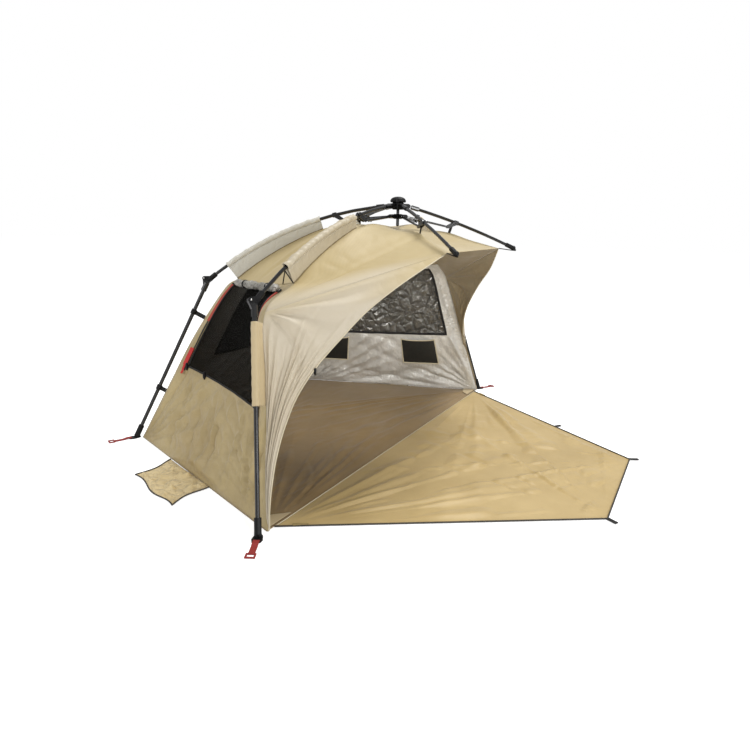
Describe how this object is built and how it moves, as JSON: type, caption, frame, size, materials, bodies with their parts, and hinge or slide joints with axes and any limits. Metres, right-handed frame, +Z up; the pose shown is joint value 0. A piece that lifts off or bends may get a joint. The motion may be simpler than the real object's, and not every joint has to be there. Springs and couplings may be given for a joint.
{
  "type": "beach tent",
  "caption": "Instant beach tent on a folding umbrella frame, with an awning, window net, ground sheet and a door panel laid out in front.",
  "frame": {"origin": "middle of the ground sheet's underside", "axes": "+Z up, -Y out through the open front, +X to the right of someone looking in from the front"},
  "size_m": [2.6632, 2.4129, 1.2673],
  "materials": {
    "tan_polyester": "coated cloth",
    "pale_polyester": "coated cloth",
    "silver_polyester": "silver coating",
    "ground_sheet": "coated cloth",
    "black_net": "fine net",
    "black_plastic": "moulded",
    "dark_steel": "gloss",
    "red_webbing": "woven strap"
  },
  "bodies": {
    "shell": {"hub_crown": "black_plastic", "hub_cap": "black_plastic", "hub_post": "dark_steel", "roof": "tan_polyester", "awning": "tan_polyester", "left_wall": "tan_polyester", "back_wall": "tan_polyester", "right_wall": "tan_polyester", "left_window_mesh": "black_net", "back_window_mesh": "black_net", "right_window_mesh": "black_net", "left_wing": "tan_polyester", "right_wing": "tan_polyester", "floor": "ground_sheet", "pocket_rear": "black_net", "pocket_front": "black_net", "sand_flap_left": "tan_polyester", "sand_flap_right": "tan_polyester", "window_cover_roll": "silver_polyester", "right_window_cover": "silver_polyester"},
    "runner": {"lower_hub": "black_plastic"},
    "rib_front_left": {"rib_front_left": "dark_steel", "elbow_fork_front_left": "black_plastic", "rib_sleeve_front_left": "pale_polyester"},
    "rib_back_left": {"rib_back_left": "dark_steel", "elbow_fork_back_left": "black_plastic", "rib_sleeve_back_left": "pale_polyester"},
    "rib_back_right": {"rib_back_right": "dark_steel", "elbow_fork_back_right": "black_plastic", "rib_sleeve_back_right": "pale_polyester"},
    "rib_front_right": {"rib_front_right": "dark_steel", "elbow_fork_front_right": "black_plastic", "rib_sleeve_front_right": "pale_polyester"},
    "pole_awning_right": {"pole_awning_right": "dark_steel", "tip_awning_right": "black_plastic"},
    "pole_awning_left": {"pole_awning_left": "dark_steel", "tip_awning_left": "black_plastic"},
    "strut_front_left": {"strut_front_left": "dark_steel"},
    "strut_back_left": {"strut_back_left": "dark_steel"},
    "strut_back_right": {"strut_back_right": "dark_steel"},
    "strut_front_right": {"strut_front_right": "dark_steel"},
    "strut_awning_right": {"strut_awning_right": "dark_steel"},
    "strut_awning_left": {"strut_awning_left": "dark_steel"},
    "leg_front_left": {"leg_front_left": "dark_steel", "foot_front_left": "black_plastic", "stake_strap_front_left": "red_webbing", "leg_sleeve_front_left": "pale_polyester"},
    "leg_front_right": {"leg_front_right": "dark_steel", "foot_front_right": "black_plastic", "stake_strap_front_right": "red_webbing", "leg_sleeve_front_right": "pale_polyester"},
    "leg_back_left": {"leg_back_left": "dark_steel", "foot_back_left": "black_plastic", "stake_strap_back_left": "red_webbing"},
    "leg_back_right": {"leg_back_right": "dark_steel", "foot_back_right": "black_plastic", "stake_strap_back_right": "red_webbing"},
    "door": {"door_panel": "tan_polyester"},
    "zip_left": {"zip_pull_left": "black_plastic"},
    "zip_right": {"zip_pull_right": "black_plastic"}
  },
  "joints": [
    {"name": "fold_front_left", "type": "hinge", "parent": "shell", "child": "rib_front_left", "pos_m": [-0.04963, -0.53891, 1.222], "axis": [-0.1219, -0.9925, 0], "range_deg": [0, 38], "deforming": ["roof", "awning", "left_wall", "back_wall", "right_wall", "left_window_mesh", "back_window_mesh", "right_window_mesh", "left_wing", "right_wing", "pocket_rear", "pocket_front", "window_cover_roll", "right_window_cover", "floor"]},
    {"name": "fold_back_left", "type": "hinge", "parent": "shell", "child": "rib_back_left", "pos_m": [-0.02462, -0.50148, 1.222], "axis": [-0.8704, -0.4924, 0], "range_deg": [0, 38]},
    {"name": "fold_back_right", "type": "hinge", "parent": "shell", "child": "rib_back_right", "pos_m": [0.02462, -0.50148, 1.222], "axis": [-0.8704, 0.4924, 0], "range_deg": [0, 38]},
    {"name": "fold_front_right", "type": "hinge", "parent": "shell", "child": "rib_front_right", "pos_m": [0.04963, -0.53891, 1.222], "axis": [-0.1219, 0.9925, 0], "range_deg": [0, 38]},
    {"name": "fold_awning_right", "type": "hinge", "parent": "shell", "child": "pole_awning_right", "pos_m": [0.03207, -0.58336, 1.222], "axis": [0.7672, 0.6414, 0], "range_deg": [0, 30.94]},
    {"name": "fold_awning_left", "type": "hinge", "parent": "shell", "child": "pole_awning_left", "pos_m": [-0.03207, -0.58336, 1.222], "axis": [0.7672, -0.6414, 0], "range_deg": [0, 30.94]},
    {"name": "runner_slide", "type": "slide", "parent": "shell", "child": "runner", "axis": [0, 0, -1], "range_m": [0, 0.3443]},
    {"name": "strut_pivot_front_left", "type": "hinge", "parent": "runner", "child": "strut_front_left", "pos_m": [-0.0397, -0.54012, 1.172], "axis": [0.1219, 0.9925, 0], "range_deg": [0, 56.3]},
    {"name": "strut_pivot_back_left", "type": "hinge", "parent": "runner", "child": "strut_back_left", "pos_m": [-0.0197, -0.51019, 1.172], "axis": [0.8704, 0.4924, 0], "range_deg": [0, 56.3]},
    {"name": "strut_pivot_back_right", "type": "hinge", "parent": "runner", "child": "strut_back_right", "pos_m": [0.0197, -0.51019, 1.172], "axis": [0.8704, -0.4924, 0], "range_deg": [0, 56.3]},
    {"name": "strut_pivot_front_right", "type": "hinge", "parent": "runner", "child": "strut_front_right", "pos_m": [0.0397, -0.54012, 1.172], "axis": [0.1219, -0.9925, 0], "range_deg": [0, 56.3]},
    {"name": "strut_pivot_awning_right", "type": "hinge", "parent": "runner", "child": "strut_awning_right", "pos_m": [0.02566, -0.57569, 1.172], "axis": [-0.7672, -0.6414, 0], "range_deg": [0, 63.6]},
    {"name": "strut_pivot_awning_left", "type": "hinge", "parent": "runner", "child": "strut_awning_left", "pos_m": [-0.02566, -0.57569, 1.172], "axis": [-0.7672, 0.6414, 0], "range_deg": [0, 63.6]},
    {"name": "elbow_front_left", "type": "hinge", "parent": "rib_front_left", "child": "leg_front_left", "pos_m": [-0.97286, -0.41818, 0.8444], "axis": [0.3527, 0.8852, -0.3033], "range_deg": [0, 150]},
    {"name": "elbow_front_right", "type": "hinge", "parent": "rib_front_right", "child": "leg_front_right", "pos_m": [0.97286, -0.41818, 0.8444], "axis": [0.3527, -0.8852, 0.3033], "range_deg": [0, 150]},
    {"name": "elbow_back_left", "type": "hinge", "parent": "rib_back_left", "child": "leg_back_left", "pos_m": [-0.47988, 0.30999, 0.84725], "axis": [0.9102, 0.3918, -0.1343], "range_deg": [0, 150]},
    {"name": "elbow_back_right", "type": "hinge", "parent": "rib_back_right", "child": "leg_back_right", "pos_m": [0.47988, 0.30999, 0.84725], "axis": [0.9102, -0.3918, 0.1343], "range_deg": [0, 150]},
    {"name": "door_hinge", "type": "hinge", "parent": "shell", "child": "door", "pos_m": [0, -0.617, 0], "axis": [-1, 0, 0], "range_deg": [0, 66]},
    {"name": "zip_slide_left", "type": "slide", "parent": "door", "child": "zip_left", "axis": [0.5592, -0.8291, 0], "range_m": [0, 1.2]},
    {"name": "zip_slide_right", "type": "slide", "parent": "door", "child": "zip_right", "axis": [-0.5592, -0.8291, 0], "range_m": [0, 1.2]}
  ],
  "couplings": [
    {"joint": "fold_back_left", "follows": "fold_front_left", "ratio": 1},
    {"joint": "fold_back_right", "follows": "fold_front_left", "ratio": 1},
    {"joint": "fold_front_right", "follows": "fold_front_left", "ratio": 1},
    {"joint": "fold_awning_right", "follows": "fold_front_left", "ratio": 0.814},
    {"joint": "fold_awning_left", "follows": "fold_front_left", "ratio": 0.814},
    {"joint": "runner_slide", "follows": "fold_front_left", "m_per_rad": 0.519},
    {"joint": "strut_pivot_front_left", "follows": "fold_front_left", "ratio": 1.48},
    {"joint": "strut_pivot_back_left", "follows": "fold_front_left", "ratio": 1.48},
    {"joint": "strut_pivot_back_right", "follows": "fold_front_left", "ratio": 1.48},
    {"joint": "strut_pivot_front_right", "follows": "fold_front_left", "ratio": 1.48},
    {"joint": "strut_pivot_awning_right", "follows": "fold_front_left", "ratio": 1.672},
    {"joint": "strut_pivot_awning_left", "follows": "fold_front_left", "ratio": 1.672}
  ]
}
